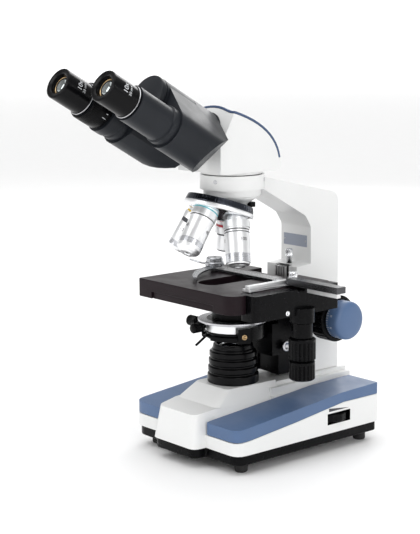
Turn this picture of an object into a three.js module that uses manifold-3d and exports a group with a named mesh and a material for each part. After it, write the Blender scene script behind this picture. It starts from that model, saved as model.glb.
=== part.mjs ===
// Binocular compound microscope with a mechanical stage, as a group of named meshes.
// Millimetres, +Z up. The optical axis is X = 0, Y = 0; the user sits on the -Y side, +X is the right side.
import * as THREE from 'three';
import { mergeVertices } from 'three/addons/utils/BufferGeometryUtils.js';
import Module from 'manifold-3d';

const wasm = await Module();
wasm.setup();

// ---- driving dimensions ----------------------------------------------------------------------------
const GAP = 0.3;                 // clearance left between pieces that touch
const BASE = { halfX: 72, front: -58.6, rear: 118, tongueFront: -72.2, tongueHalfX: 30, floorZ: 18.4 };
const COVER_INNER = { front: 30, rear: 34.6 };   // X of a side cover's inner edge
const WHEEL = { x: 59.2, y: 65, r: 15.6 };   // brightness wheel in the right wall
const FOOT = { r: 5.8, height: 9, x: 58, frontY: -42, rearY: 106 };
const ARM = { halfX: 20, front: 79, rear: 115, blockFront: 61, blockTop: 165.4 };
const PLINTH_Z = 63.9;           // where the illuminator stands
const SPINE_Z = 61.6;            // where the arm stands
const RING = { outer: 29, tier: 26, topZ: 254, stepZ: 241, bottomZ: 235.2, bore: 18 };
const FOCUS = { y: 80, z: 118.6, coarseR: 21.5, fineR: 17.6 };
const STOP_Y = 70.4;             // stage stop screw
const STAGE = { topZ: 158, plateZ: 147.5, bottomZ: 141.3, left: -63, right: 66, front: -59, rear: 59 };
const SLOT = { halfX: 12.5, frontY: -36, rearY: 24 };
const RAIL = { inner: 66.3, noseInner: 57.2, outer: 77, front: -42.5, bottomZ: 135 };
const XY_AXIS = { x: 74, y: 16 };
const HOLDER_Z = 158.4;          // underside of the slide holder
const CLIP = { x: -45.5, y: 17.6 };
const HOLDER_SCREW = { x: 57.8, y: 20 };
const CONDENSER = { r: 25, discR: 32, discTop: 122.6, collarTop: 120, bodyTop: 111.7, bottom: 104.8 };
const CONDENSER_SHAFT = { y: 43, z: 93.3 };
const APEX = { y: 1, z: 273.2 };  // where the turret axis and every objective axis cross
const TURRET_TILT = 18.93;       // degrees between the turret axis and the vertical
const TURRET_TOP = 45;           // from the apex down to the turret's top face
const FIRST_OBJECTIVE = 72.5;    // degrees round the turret from the working position
const SHOULDER = 60.1;           // from the apex to an objective's shoulder
const HEAD = { halfX: 29, bottomZ: 256.8, rear: 32.2, front: -45.8, crown: 4, coverT: 2.1 };
const TUBE_SLOPE = 30;           // eyepiece tubes above the horizontal, degrees
const PIVOT = { y: -33.15, z: 291.2 };   // hinge axis of the tubes where it leaves the head
const TUBE_OFFSET = 39.5;        // tube axis to hinge axis
const TUBE_DROP = 37;            // the arm from hinge to tube, below the horizontal, degrees
const HOUSING = { r: 19.4, back: 2.6, front: 64, split: 31, barrelEnd: 66.4, capEnd: 72.5 };
const TUBE = { r: 15.9, leftR: 15, end: 107, bore: 11.6 };
const EYEPIECE = { r: 13.8, seat: 107.4, end: 137, barrelR: 11.5 };

const rad = THREE.MathUtils.degToRad;

// ---- materials -------------------------------------------------------------------------------------
const paint = (color, roughness, metalness = 0) => new THREE.MeshStandardMaterial(
  { color, roughness, metalness });
const WHITE = paint(0xe9e9e6, 0.42);
const BLUE = paint(0x3f5f92, 0.4);
const BLACK = paint(0x1b1c1f, 0.45);
const STAGE_BLACK = paint(0x2a2729, 0.6);
const RUBBER = paint(0x101010, 0.85);
const CHROME = paint(0xd8dadd, 0.12, 1);
const STEEL = paint(0x9fa3a6, 0.32, 1);
const GLASS = paint(0xcfe0ea, 0.05);

// ---- solid helpers ---------------------------------------------------------------------------------
// Merges shared vertices, drops collapsed triangles and turns the faces outwards.
function weld(geometry) {
  const bare = geometry.clone();
  bare.deleteAttribute('normal');
  bare.deleteAttribute('uv');
  const merged = mergeVertices(bare, 1e-4);
  const p = merged.attributes.position.array;
  const index = merged.index.array;
  const tris = [];
  let volume = 0;
  for (let i = 0; i < index.length; i += 3) {
    const [a, b, c] = [index[i], index[i + 1], index[i + 2]];
    if (a === b || b === c || a === c) continue;
    tris.push(a, b, c);
    const u = new THREE.Vector3().fromArray(p, 3 * a);
    const v = new THREE.Vector3().fromArray(p, 3 * b);
    const w = new THREE.Vector3().fromArray(p, 3 * c);
    volume += u.dot(v.cross(w));
  }
  if (volume < 0) tris.reverse();
  return { vertProperties: new Float32Array(p), triVerts: new Uint32Array(tris) };
}

const toSolid = (geometry) => new wasm.Manifold(new wasm.Mesh({ numProp: 3, ...weld(geometry) }));
const place = (solid, matrix) => solid.transform(matrix.elements);
const move = (solid, x, y, z) => place(solid, new THREE.Matrix4().makeTranslation(x, y, z));
const union = (...solids) => solids.reduce((a, b) => a.add(b));
const cut = (solid, ...tools) => tools.reduce((a, b) => a.subtract(b), solid);

function box(x0, x1, y0, y1, z0, z1) {
  const g = new THREE.BoxGeometry(x1 - x0, y1 - y0, z1 - z0);
  g.translate((x0 + x1) / 2, (y0 + y1) / 2, (z0 + z1) / 2);
  return toSolid(g);
}

// Turns a closed [radius, height] profile about the Z axis.
function lathe(profile, segments = 24) {
  const g = new THREE.LatheGeometry(profile.map(([r, h]) => new THREE.Vector2(r, h)), segments);
  g.rotateX(Math.PI / 2);
  return toSolid(g);
}

const disc = (r, z0, z1, segments = 24) => lathe([[0, z0], [r, z0], [r, z1], [0, z1]], segments);
const tube = (inner, outer, z0, z1, segments = 24) =>
  lathe([[inner, z0], [outer, z0], [outer, z1], [inner, z1], [inner, z0]], segments);

// A disc with a small chamfer on both rims.
const button = (r, z0, z1, chamfer = 0.8, segments = 24) => lathe([[0, z0], [r - chamfer, z0],
  [r, z0 + chamfer], [r, z1 - chamfer], [r - chamfer, z1], [0, z1]], segments);

// Outline from points [x, y, corner radius]; the corners become arcs.
function outline(points, arcSteps = 4) {
  const shape = [];
  points.forEach(([x, y, r = 0], i) => {
    const corner = new THREE.Vector2(x, y);
    if (!r) {
      shape.push(corner);
      return;
    }
    const [px, py] = points[(i + points.length - 1) % points.length];
    const [nx, ny] = points[(i + 1) % points.length];
    const toPrev = new THREE.Vector2(px - x, py - y).normalize();
    const toNext = new THREE.Vector2(nx - x, ny - y).normalize();
    const reach = r / Math.tan(Math.acos(THREE.MathUtils.clamp(toPrev.dot(toNext), -1, 1)) / 2);
    const start = corner.clone().addScaledVector(toPrev, reach);
    const end = corner.clone().addScaledVector(toNext, reach);
    const arc = new THREE.QuadraticBezierCurve(start, corner, end);
    shape.push(...arc.getPoints(arcSteps));
  });
  return shape;
}

// Extrudes an outline along +Z from z0 to z1.
function extrude(points, z0, z1) {
  const g = new THREE.ExtrudeGeometry(new THREE.Shape(points), { depth: z1 - z0, bevelEnabled: false });
  g.translate(0, 0, z0);
  return toSolid(g);
}

// Turns a solid drawn in (x, y) with thickness along z into one drawn in (Y, Z) with thickness along X.
const toSideView = (solid) => place(solid, new THREE.Matrix4().makeBasis(
  new THREE.Vector3(0, 1, 0), new THREE.Vector3(0, 0, 1), new THREE.Vector3(1, 0, 0)));
const sideExtrude = (points, x0, x1) => toSideView(extrude(outline(points), x0, x1));

// Points the +Z axis of a solid along another direction, through a point.
function along(solid, direction, at = [0, 0, 0]) {
  const q = new THREE.Quaternion().setFromUnitVectors(new THREE.Vector3(0, 0, 1),
    new THREE.Vector3(...direction).normalize());
  return place(solid, new THREE.Matrix4().compose(new THREE.Vector3(...at), q, new THREE.Vector3(1, 1, 1)));
}

// Stack of outlines with equal point counts, closed at both ends.
function loft(sections) {
  const n = sections[0].points.length;
  const positions = [];
  const index = [];
  sections.forEach(({ points, z }) => points.forEach((p) => positions.push(p.x, p.y, z)));
  for (let s = 0; s < sections.length - 1; s += 1) {
    for (let i = 0; i < n; i += 1) {
      const j = (i + 1) % n;
      const [a, b, c, d] = [s * n + i, s * n + j, (s + 1) * n + i, (s + 1) * n + j];
      index.push(a, b, d, a, d, c);
    }
  }
  const lid = THREE.ShapeUtils.triangulateShape(sections[0].points, []);
  const top = (sections.length - 1) * n;
  lid.forEach(([a, b, c]) => {
    index.push(a, c, b);
    index.push(top + a, top + b, top + c);
  });
  const g = new THREE.BufferGeometry();
  g.setAttribute('position', new THREE.Float32BufferAttribute(positions, 3));
  g.setIndex(index);
  return toSolid(g);
}

// A ring of grooves round a solid about the Z axis.
function flute(solid, count, radius, toolR, z0, z1) {
  let result = solid;
  for (let i = 0; i < count; i += 1) {
    const a = (2 * Math.PI * i) / count;
    result = result.subtract(move(disc(toolR, z0, z1, 4), radius * Math.cos(a), radius * Math.sin(a), 0));
  }
  return result;
}

const model = new THREE.Group();

function add(name, solid, material, parent = model) {
  const { vertProperties, triVerts } = solid.getMesh();
  const g = new THREE.BufferGeometry();
  g.setAttribute('position', new THREE.BufferAttribute(vertProperties, 3));
  g.setIndex(new THREE.BufferAttribute(triVerts, 1));
  g.computeVertexNormals();
  const mesh = new THREE.Mesh(g, material);
  mesh.name = name;
  parent.add(mesh);
}

// ---- stand -----------------------------------------------------------------------------------------
// Plan of the foot: two wings and the tongue in front; inset shrinks it.
function basePlan(inset = 0) {
  const x = BASE.halfX - inset;
  const t = BASE.tongueHalfX - inset;
  const f = BASE.front + inset;
  return outline([[-x, f, 11], [-t, f, 2], [-t, BASE.tongueFront + inset, 8],
    [t, BASE.tongueFront + inset, 8], [t, f, 2], [x, f, 11],
    [x, BASE.rear - inset, 5], [-x, BASE.rear - inset, 5]]);
}

// Side profile of the seam under the side covers, from the front to the rear.
const SEAM = [[-58.6, 29.8], [-41.8, 31.1], [11, 36.8], [71, 44.5], [118, 44.5]];

function makeBaseShell() {
  const seamRoof = SEAM.map(([y, z]) => [y, z]);
  const wings = sideExtrude([[-90, 10], [130, 10], [130, 44.5], ...seamRoof.reverse(), [-90, 29.8]], -90, 90);
  const wingPlan = outline([[-BASE.halfX, BASE.front, 11], [BASE.halfX, BASE.front, 11],
    [BASE.halfX, BASE.rear, 5], [-BASE.halfX, BASE.rear, 5]]);
  const slab = extrude(wingPlan, BASE.floorZ, 50).intersect(wings);
  const tongue = loft([
    { z: BASE.floorZ, points: outline([[-30, -72.2, 8], [30, -72.2, 8], [30, -40], [-30, -40]]) },
    { z: 51, points: outline([[-25, -67.3, 8], [25, -67.3, 8], [29, -40], [-29, -40]]) }]);
  const tongueRoof = sideExtrude([[-80, 10], [-30, 10], [-30, 52.5], [-45, 51], [-80, 46.2]], -40, 40);
  const plinth = loft([
    { z: 30, points: outline([[-29.5, -50, 4], [29.5, -50, 4], [33.6, 80], [-33.6, 80]]) },
    { z: 45, points: outline([[-29.5, -50, 4], [29.5, -50, 4], [33.6, 80], [-33.6, 80]]) },
    { z: 51, points: outline([[-28, -44.5, 6], [28, -44.5, 6], [29, 30], [-29, 30]]) },
    { z: PLINTH_Z - GAP, points: outline([[-22.5, -27, 5], [22.5, -27, 5], [24.5, 30], [-24.5, 30]]) }]);
  const lowStep = extrude(outline([[-31.8, 18], [31.8, 18], [33.6, 80], [33.6, 122], [-33.6, 122],
    [-33.6, 80]]), 30, 50.6);
  const midStep = box(-30, 30, 20, 122, 40, 58);
  const topStep = box(-24, 24, 20, 122, 40, SPINE_Z);
  const outer = union(slab, tongue.intersect(tongueRoof), plinth, lowStep, midStep, topStep);
  const frontHollow = box(-66, 66, -52, 38, 17, 27);
  const rearHollow = box(-66, 66, 30, 112, 17, 38);
  const lampWell = union(box(-17, 17, -22, 22, 20, 58), disc(15, 50, 70, 32));
  const wheelSlot = box(60, 80, WHEEL.y - 14.6, WHEEL.y + 14.6, 26.4, 36.8);
  const inlet = box(-24, 4, 109, 130, 24, 46);
  const switchHole = box(12, 30, 109, 130, 26, 44);
  return cut(outer, frontHollow, rearHollow, lampWell, wheelSlot, inlet, switchHole);
}

// A side cover is drawn for the right side: its floor follows the seam, its roof slopes up to the rear.
function makeCover(side) {
  const roof = [[-58.6, 41], [-44, 42.9], [68, 53.9], [118, 55.6]];
  const floor = SEAM.map(([y, z]) => [y, z + GAP]);
  floor[0] = [-70, floor[0][1]];
  const slice = sideExtrude([...floor, [118, 55.6, 3], [68, 53.9], [-44, 42.9], [-70, 40.1]], -90, 90);
  const { front, rear } = COVER_INNER;
  const plan = outline([[front, BASE.front, 3], [BASE.halfX, BASE.front, 11],
    [BASE.halfX, roof[3][0], 5], [rear, roof[3][0], 1]]);
  const besidePlinth = extrude(outline([[-10, -80], [30.3, -80], [30.3, -50], [34, 80], [34, 130],
    [-10, 130]]), 20, 70);
  const right = extrude(plan, 20, 60).intersect(slice).subtract(besidePlinth);
  return side > 0 ? right : right.mirror([1, 0, 0]);
}

function makeArm() {
  const column = sideExtrude([[ARM.rear, SPINE_Z + GAP], [ARM.rear, 228.8, 12], [22, 250.5], [0, 254],
    [0, 243], [20, 240], [72, 211, 8], [ARM.front, 200, 6], [ARM.front, SPINE_Z + GAP]],
  -ARM.halfX, ARM.halfX);
  const block = sideExtrude([[ARM.front + 1, SPINE_Z + GAP], [ARM.front + 1, ARM.blockTop],
    [ARM.blockFront, ARM.blockTop - 1.6], [ARM.blockFront, SPINE_Z + GAP]], -ARM.halfX, ARM.halfX);
  const ring = union(disc(RING.outer, RING.stepZ, RING.topZ, 40),
    disc(RING.tier, RING.bottomZ, RING.stepZ, 40));
  const guide = box(-9.4, 9.4, 50, 75, SPINE_Z - 1, 164.2);
  const shaftBore = along(disc(5.6, -40, 40, 20), [1, 0, 0], [0, FOCUS.y, FOCUS.z]);
  const pinionRoom = acrossX(disc(7.2, -9.4, 9.4, 20));
  const lightBore = disc(RING.bore, 200, 246, 24);
  const dovetail = disc(25.8, 246, 260, 32);
  const stopHole = move(disc(2.7, 120, 170, 16), 0, STOP_Y, 0);
  const turretPlane = inTurretFrame(box(-60, 60, -60, 60, -120, -TURRET_TOP + 0.7));
  return cut(union(column, block, ring), guide, shaftBore, pinionRoom, lightBore, dovetail, stopHole,
    turretPlane);
}

// ---- illuminator -----------------------------------------------------------------------------------
function makeIlluminator() {
  const ribs = [[23.6, PLINTH_Z], [23.6, 70.6]];
  for (let i = 0; i < 3; i += 1) {
    const z = 71.4 + i * 7.3;
    const r = 23.2 - i * 0.4;
    ribs.push([r - 2.2, z], [r - 2.2, z + 1.8], [r, z + 2.6], [r, z + 6.4]);
  }
  return lathe([[16, PLINTH_Z], ...ribs, [18.4, 93.6], [18, 98.4], [15, 99], [15, 94], [16, 93.4],
    [16, PLINTH_Z]], 24);
}

// ---- focus drive -----------------------------------------------------------------------------------
const acrossX = (solid, x = 0) => along(solid, [1, 0, 0], [x, FOCUS.y, FOCUS.z]);

function makeCoarseKnob(side) {
  const knob = lathe([[5.2, 34], [14, 34], [18, 36], [20, 38], [FOCUS.coarseR, 39.5], [FOCUS.coarseR, 55],
    [20.4, 56], [14, 56], [14, 50], [5.2, 50], [5.2, 34]], 28);
  const ribbed = flute(knob, 20, FOCUS.coarseR + 0.5, 1.4, 38, 54);
  const placed = acrossX(ribbed);
  return side > 0 ? placed : placed.mirror([1, 0, 0]);
}

function makeFineKnob(side) {
  const knob = lathe([[0, 50.4], [13.6, 50.4], [13.6, 56.4], [FOCUS.fineR, 56.4], [FOCUS.fineR, 68],
    [FOCUS.fineR - 1.2, 70.2], [13, 71.6], [7, 72.2], [0, 72.4]], 28);
  const hub = disc(3.1, 50, 56, 20);
  const placed = acrossX(cut(knob, hub));
  return side > 0 ? placed : placed.mirror([1, 0, 0]);
}

// Hollow coarse shaft with the pinion that drives the rack.
function makeCoarseShaft() {
  const pinion = flute(disc(6.3, -4, 4, 20), 10, 6.5, 0.9, -5, 5);
  const collar = tube(3.4, 13.4, 27.4, 33.7, 24);
  const shaft = union(disc(5.2, -28, 28, 20), disc(4.9, -49.6, 49.6, 20), pinion);
  return acrossX(cut(shaft.add(collar), disc(3.4, -60, 60, 20)));
}

// ---- focus carriage and stage ----------------------------------------------------------------------
function makeCarriage() {
  const plate = box(-20, 20, 38, 60.7, 66, 134);
  const tongue = box(-9, 9, 60, 64, 72, 152);
  const shelf = box(-31, 31, 26, 60.7, 130, 141);
  const condenserWay = box(-8.4, 8.4, 30, 39.8, 60, 124.6);
  const shaftBore = along(disc(2.9, -30, 30, 16), [1, 0, 0], [0, CONDENSER_SHAFT.y, CONDENSER_SHAFT.z]);
  const rackSeat = box(-4.3, 4.3, 61.6, 70, 83.7, 138.3);
  const lensRoom = disc(33.5, 120, 135, 40);
  return cut(union(plate, tongue, shelf), condenserWay, shaftBore, rackSeat, lensRoom);
}

function makeRack() {
  let rack = box(-4, 4, 61.9, 73.6, 84, 138);
  for (let z = 86; z < 137; z += 4) {
    rack = rack.subtract(box(-5, 5, 71.8, 75, z, z + 2));
  }
  return rack;
}

function slotTool(grow, z0, z1) {
  const { halfX, frontY, rearY } = SLOT;
  const x = halfX + grow;
  return extrude(outline([[-x, frontY - grow, x * 0.98], [x, frontY - grow, x * 0.98],
    [x, rearY + grow, x * 0.98], [-x, rearY + grow, x * 0.98]], 6), z0, z1);
}

function makeLowerPlate() {
  const plate = extrude(outline([[-43.5, -57.4, 1], [40.5, -57.4, 1], [40.5, 57, 3], [-43.5, 57, 3]]),
    141.4, 147.1);
  const rackLug = union(box(31.5, 62, 9, 52, 131, 140.9), box(31.5, 40.5, 9, 52, 131, 143));
  return cut(plate.add(rackLug), disc(24, 120, 150, 32));
}

// Plan of the rail's wide front end, which stands in the plate's corner.
const railNose = (grow) => outline([[RAIL.noseInner - grow, RAIL.front - grow, 4.4],
  [RAIL.outer + grow, RAIL.front - grow, 5.2], [RAIL.outer + grow, RAIL.front + 15 + grow],
  [RAIL.noseInner - grow, RAIL.front + 15 + grow]]);

function makeUpperPlate() {
  const plan = outline([[STAGE.left, STAGE.front, 2], [STAGE.right, STAGE.front, 13],
    [STAGE.right, STAGE.rear, 4], [STAGE.left, STAGE.rear, 4]], 6);
  const plate = extrude(plan, STAGE.plateZ, STAGE.topZ);
  const leftSkirt = extrude(plan, STAGE.bottomZ, 150).intersect(box(-70, -44, -70, 45, 130, 150));
  const rightSkirt = extrude(plan, STAGE.bottomZ, 150).intersect(box(41, 70, -70, 45, 130, 150));
  const rearNotch = box(-25, 25, 42, 70, 130, 170);
  const groove = box(34, 80, 7.5, 16.5, 155.6, 160);
  const railRoom = extrude(railNose(GAP), 130, 165);
  return cut(union(plate, leftSkirt, rightSkirt), slotTool(0, 140, 165), groove, rearNotch, railRoom);
}

function makeSideRail() {
  const plan = outline([[RAIL.inner, RAIL.front, 3], [RAIL.outer, RAIL.front, 5.2],
    [RAIL.outer, 58, 2], [RAIL.inner, 58, 1]]);
  const bar = extrude(plan, RAIL.bottomZ, STAGE.topZ - 0.1);
  const boss = move(disc(11, 128, 141, 32), XY_AXIS.x, XY_AXIS.y, 0);
  const nose = extrude(railNose(0), RAIL.bottomZ, STAGE.topZ - 0.1);
  const groove = box(60, 90, 7.5, 16.5, 155.6, 160);
  return cut(union(bar, nose, boss), groove, move(disc(4.4, 120, 136, 20), XY_AXIS.x, XY_AXIS.y, 0));
}

function makeSlideHolder() {
  const bar = extrude(outline([[-50, 14, 2], [61, 14], [61, 27, 2], [-50, 27, 3]]), HOLDER_Z, 160.7);
  const arm = extrude(outline([[51, -34, 1], [61, -34, 1], [61, 20], [51, 20]]), HOLDER_Z, 160.7);
  const notch = box(38, 43, 10, 17, 158, 162);
  const rail = box(61.5, 124.4, 8, 18.4, 160.3, 166);
  const foot = union(box(56, 66, 14, 18.4, 158.6, 160.7), box(61, 66, 14, 18.4, 158.6, 162));
  const rack = box(86.5, 122.8, 9.5, 14, 156.4, 161);
  const screwHole = move(disc(2.4, 150, 170, 14), HOLDER_SCREW.x, HOLDER_SCREW.y, 0);
  return cut(union(bar, arm, rail, foot, rack), notch, screwHole);
}

function makeStopArm() {
  const bar = extrude(outline([[55, -34.5, 0.8], [60.6, -34.5, 0.8], [60.6, 24, 0.5], [55, 24, 0.5]]),
    161, 163.8);
  return cut(bar, move(disc(2.4, 150, 170, 14), HOLDER_SCREW.x, HOLDER_SCREW.y, 0));
}

// Crescent lever with its spring barrel and finger tail.
function makeClip() {
  const outer = new THREE.QuadraticBezierCurve(new THREE.Vector2(-50, 22), new THREE.Vector2(-44, -16),
    new THREE.Vector2(-11, -37));
  const inner = new THREE.QuadraticBezierCurve(new THREE.Vector2(-9, -34.5), new THREE.Vector2(-32, -14),
    new THREE.Vector2(-38, 14));
  const blade = extrude([...outer.getPoints(8), ...inner.getPoints(8)], 161.1, 162.6);
  const barrel = move(union(button(9.2, 162.2, 166.4, 0.8, 24), button(7.8, 165.4, 170.6, 0.8, 24)),
    CLIP.x, CLIP.y, 0);
  const tail = new THREE.ExtrudeGeometry(new THREE.Shape().absarc(0, 0, 0.9, 0, 2 * Math.PI), {
    steps: 7, curveSegments: 6, extrudePath: new THREE.CatmullRomCurve3([
      new THREE.Vector3(-46, 15, 164.5), new THREE.Vector3(-56, 11, 164.5),
      new THREE.Vector3(-64, 9, 165.6), new THREE.Vector3(-70, 8, 166.4)]) });
  return union(blade, barrel, toSolid(tail)).subtract(move(disc(1.6, 150, 175, 12), CLIP.x, CLIP.y, 0));
}

function makeXYKnob(r, z0, z1, ribs) {
  const knob = lathe([[4.4, z0], [r - 1, z0], [r, z0 + 1], [r, z1 - 1], [r - 1.2, z1], [4.4, z1],
    [4.4, z0]], 24);
  return move(flute(knob, ribs, r + 0.4, 0.9, z0 + 1, z1 - 1), XY_AXIS.x, XY_AXIS.y, 0);
}

// ---- condenser -------------------------------------------------------------------------------------
function makeCondenserBracket() {
  const ring = tube(CONDENSER.r + GAP, 28.6, 105.4, 109.2, 32);
  const holder = tube(CONDENSER.r + GAP, 28.6, 105.4, 118, 32).intersect(box(-40, 40, -7, 40, 100, 130));
  const link = box(-12, 12, 26, 36, 101, 115);
  const slide = union(box(-21, 21, 29.4, 37.6, 85, 115), box(-8, 8, 36, 39.4, 85, 115));
  const ear = place(box(24, 31.4, -6, 6, 104.4, 118), new THREE.Matrix4().makeRotationZ(rad(-22)));
  const body = union(ring, holder, link, slide, ear);
  const leverWindow = box(-18, 1.5, -34, -18, 100, 120);
  return cut(body, disc(CONDENSER.r + GAP, 100, 120, 32), leverWindow);
}

function makeCondenserBody() {
  const { r, bodyTop, bottom } = CONDENSER;
  const shell = lathe([[19.4, bottom], [r - 1.2, bottom], [r, bottom + 1], [r, bodyTop],
    [19.4, bodyTop], [19.4, bottom]], 32);
  const leverSlot = box(-18, 1.5, -30, -16.5, 106.6, 109.4);
  return shell.subtract(leverSlot);
}

function makeCondenserCollar() {
  const { r, discR, discTop, collarTop, bodyTop } = CONDENSER;
  const collar = lathe([[11.3, bodyTop + GAP], [r, bodyTop + GAP], [r, collarTop], [discR, collarTop + 0.4],
    [discR, discTop], [19, discTop], [19, 137.6], [11.3, 137.6], [11.3, bodyTop + GAP]], 32);
  const leftBore = along(disc(2, 13, 40, 14), [-1, 0, 0], [0, -13, 114.8]);
  const frontBore = along(disc(2, 15.2, 40, 14), [0, -1, 0], [-16.5, 0, 114.2]);
  return cut(collar, leftBore, frontBore);
}

// Knurled knob with a thin shaft, pointing along a direction from a point.
function makeScrew(direction, at, { shaftR, knobR, shaft, knob }) {
  const body = union(disc(shaftR, 0, shaft + 1, 14), button(knobR, shaft, shaft + knob, 0.7, 24));
  return along(body, direction, at);
}

function makeIrisLever() {
  const root = box(-10.6, -6, -27.5, -20.2, 107, 109);
  const rod = along(disc(1.1, 0, 14, 10), [0, -0.86, -0.5], [-8.3, -25, 107.8]);
  return union(root, rod);
}

// ---- nosepiece -------------------------------------------------------------------------------------
const turretMatrix = new THREE.Matrix4().makeRotationX(rad(-TURRET_TILT))
  .premultiply(new THREE.Matrix4().makeTranslation(0, APEX.y, APEX.z));

function inTurretFrame(solid) {
  return place(solid, turretMatrix);
}

// Angle of an objective round the turret: 0 is the working position.
const objectiveAngle = (i) => rad(FIRST_OBJECTIVE + 90 * i);

// Frame of one objective: +Z runs up its axis to the apex.
function objectiveMatrix(i) {
  return new THREE.Matrix4().makeRotationZ(-objectiveAngle(i))
    .multiply(new THREE.Matrix4().makeRotationX(rad(TURRET_TILT)));
}

function makeNosepieceMount() {
  const cone = lathe([[0, 215], [19.5, 215], [24.5, RING.bottomZ - GAP], [0, RING.bottomZ - GAP]], 32);
  const below = inTurretFrame(box(-60, 60, -60, 60, -120, -TURRET_TOP + GAP));
  const detent = move(box(-3.4, 3.4, -3, 3, 219, 225), 14.5, 15.2, 0);
  return cut(cone.add(detent), below, disc(14, 190, 240, 24));
}

function makeTurret() {
  let dome = lathe([[5, -63.4], [8.6, -63], [12, -61], [20, -58.6], [27.5, -56], [31.9, -53.2],
    [31.9, -52.6], [31.4, -50.6], [5, -50.6], [5, -63.4]], 32);
  for (let i = 0; i < 4; i += 1) {
    const seat = disc(12.3, -SHOULDER - 12, -SHOULDER + GAP, 24);
    const bore = disc(7, -80, -40, 16);
    dome = cut(dome, place(seat, objectiveMatrix(i)), place(bore, objectiveMatrix(i)));
  }
  return dome;
}

function makeGripRing() {
  const ring = lathe([[5, -50.3], [31.2, -50.3], [29.8, -TURRET_TOP], [5, -TURRET_TOP], [5, -50.3]], 32);
  let grip = flute(ring, 20, 31.6, 0.9, -50.2, -46);
  for (let i = 0; i < 4; i += 1) {
    grip = grip.subtract(place(disc(7, -80, -40, 16), objectiveMatrix(i)));
  }
  return grip;
}

// Objectives as [radius, distance below the shoulder] steps, longest first.
const OBJECTIVES = [
  ['objective_100x', [[8.3, 0], [8.3, 3.6], [11.9, 4.2], [11.9, 10.4], [11.2, 10.8], [10.9, 14.6],
    [11.2, 15.4], [11.2, 34], [10.9, 34.2], [10.9, 42], [10.2, 43.4], [7.2, 44.2], [6.4, 45]]],
  ['objective_40x', [[9.6, 0], [11.7, 1.2], [11.9, 9.4], [11.2, 10], [11.4, 12.2], [11, 13], [10.9, 33],
    [10.6, 41], [9, 43.4], [6.6, 45]]],
  ['objective_10x', [[8.4, 0], [8.4, 3], [9.2, 3.4], [10.6, 5.6], [10.6, 11], [10, 11.4], [10, 38.4],
    [8.6, 40.4], [6, 41.5]]],
  ['objective_4x', [[8.4, 0], [8.4, 5], [10.4, 5.6], [11.4, 8], [11.4, 13.5], [9.2, 15.4], [9.2, 28.8],
    [8.2, 30], [6.4, 30.2]]],
];

function makeObjective(steps) {
  const profile = steps.map(([r, s]) => [r, -SHOULDER - s]);
  const length = steps[steps.length - 1][1];
  return lathe([[4.5, -SHOULDER], ...profile, [4.5, -SHOULDER - length + 0.6], [4.5, -SHOULDER]], 24);
}

// ---- head ------------------------------------------------------------------------------------------
const tubeSlope = new THREE.Vector2(-Math.cos(rad(TUBE_SLOPE)), Math.sin(rad(TUBE_SLOPE)));
const faceUp = new THREE.Vector2(Math.sin(rad(TUBE_SLOPE)), Math.cos(rad(TUBE_SLOPE)));

// Point of the sloping front face, a distance up along it from the hinge axis, as (Y, Z).
const onFace = (up) => new THREE.Vector2(PIVOT.y, PIVOT.z).addScaledVector(faceUp, up);

// Edge of the roof over a side wall, from the rear wall to the front face.
const roofEdge = new THREE.QuadraticBezierCurve(new THREE.Vector2(HEAD.rear, 268.2),
  new THREE.Vector2(27, 297.5), new THREE.Vector2(-22.4, 312.2));

// Closed solid between two grids of points with the same number of rows and columns.
function gridSolid(tops, floors, columns) {
  const n = tops.length;
  const rows = n / columns;
  const index = [];
  const quad = (a, b, c, d) => index.push(a, b, c, a, c, d);
  for (let i = 0; i < rows - 1; i += 1) {
    for (let j = 0; j < columns - 1; j += 1) {
      const a = i * columns + j;
      quad(a, a + 1, a + columns + 1, a + columns);
      quad(n + a, n + a + columns, n + a + columns + 1, n + a + 1);
    }
  }
  const rim = [];
  for (let j = 0; j < columns - 1; j += 1) rim.push(j);
  for (let i = 0; i < rows - 1; i += 1) rim.push(i * columns + columns - 1);
  for (let j = columns - 1; j > 0; j -= 1) rim.push((rows - 1) * columns + j);
  for (let i = rows - 1; i > 0; i -= 1) rim.push(i * columns);
  rim.forEach((a, k) => {
    const b = rim[(k + 1) % rim.length];
    quad(b, a, n + a, n + b);
  });
  const g = new THREE.BufferGeometry();
  g.setAttribute('position', new THREE.Float32BufferAttribute([...tops, ...floors].flat(), 3));
  g.setIndex(index);
  return toSolid(g);
}

const ROOF_COLUMNS = 11;
const ROOF_STEPS = 12;

// Grid of points on the crowned roof, moved inwards by a depth; it ends beyond the sloping face.
function roofGrid(depth) {
  const points = [];
  for (let i = 0; i <= ROOF_STEPS + 1; i += 1) {
    const t = Math.min(i / ROOF_STEPS, 1);
    const at = roofEdge.getPoint(t);
    const run = roofEdge.getTangent(t);
    if (i > ROOF_STEPS) at.addScaledVector(run, 16);
    const rise = THREE.MathUtils.smoothstep(-at.x, -26, 18);
    for (let j = 0; j < ROOF_COLUMNS; j += 1) {
      const x = HEAD.halfX * (2 * j / (ROOF_COLUMNS - 1) - 1);
      const crown = Math.max(0, HEAD.crown * (1 - (x / 21) ** 2)) * rise;
      points.push([x, at.x + run.y * (crown - depth), at.y - run.x * (crown - depth)]);
    }
  }
  return points;
}

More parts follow.
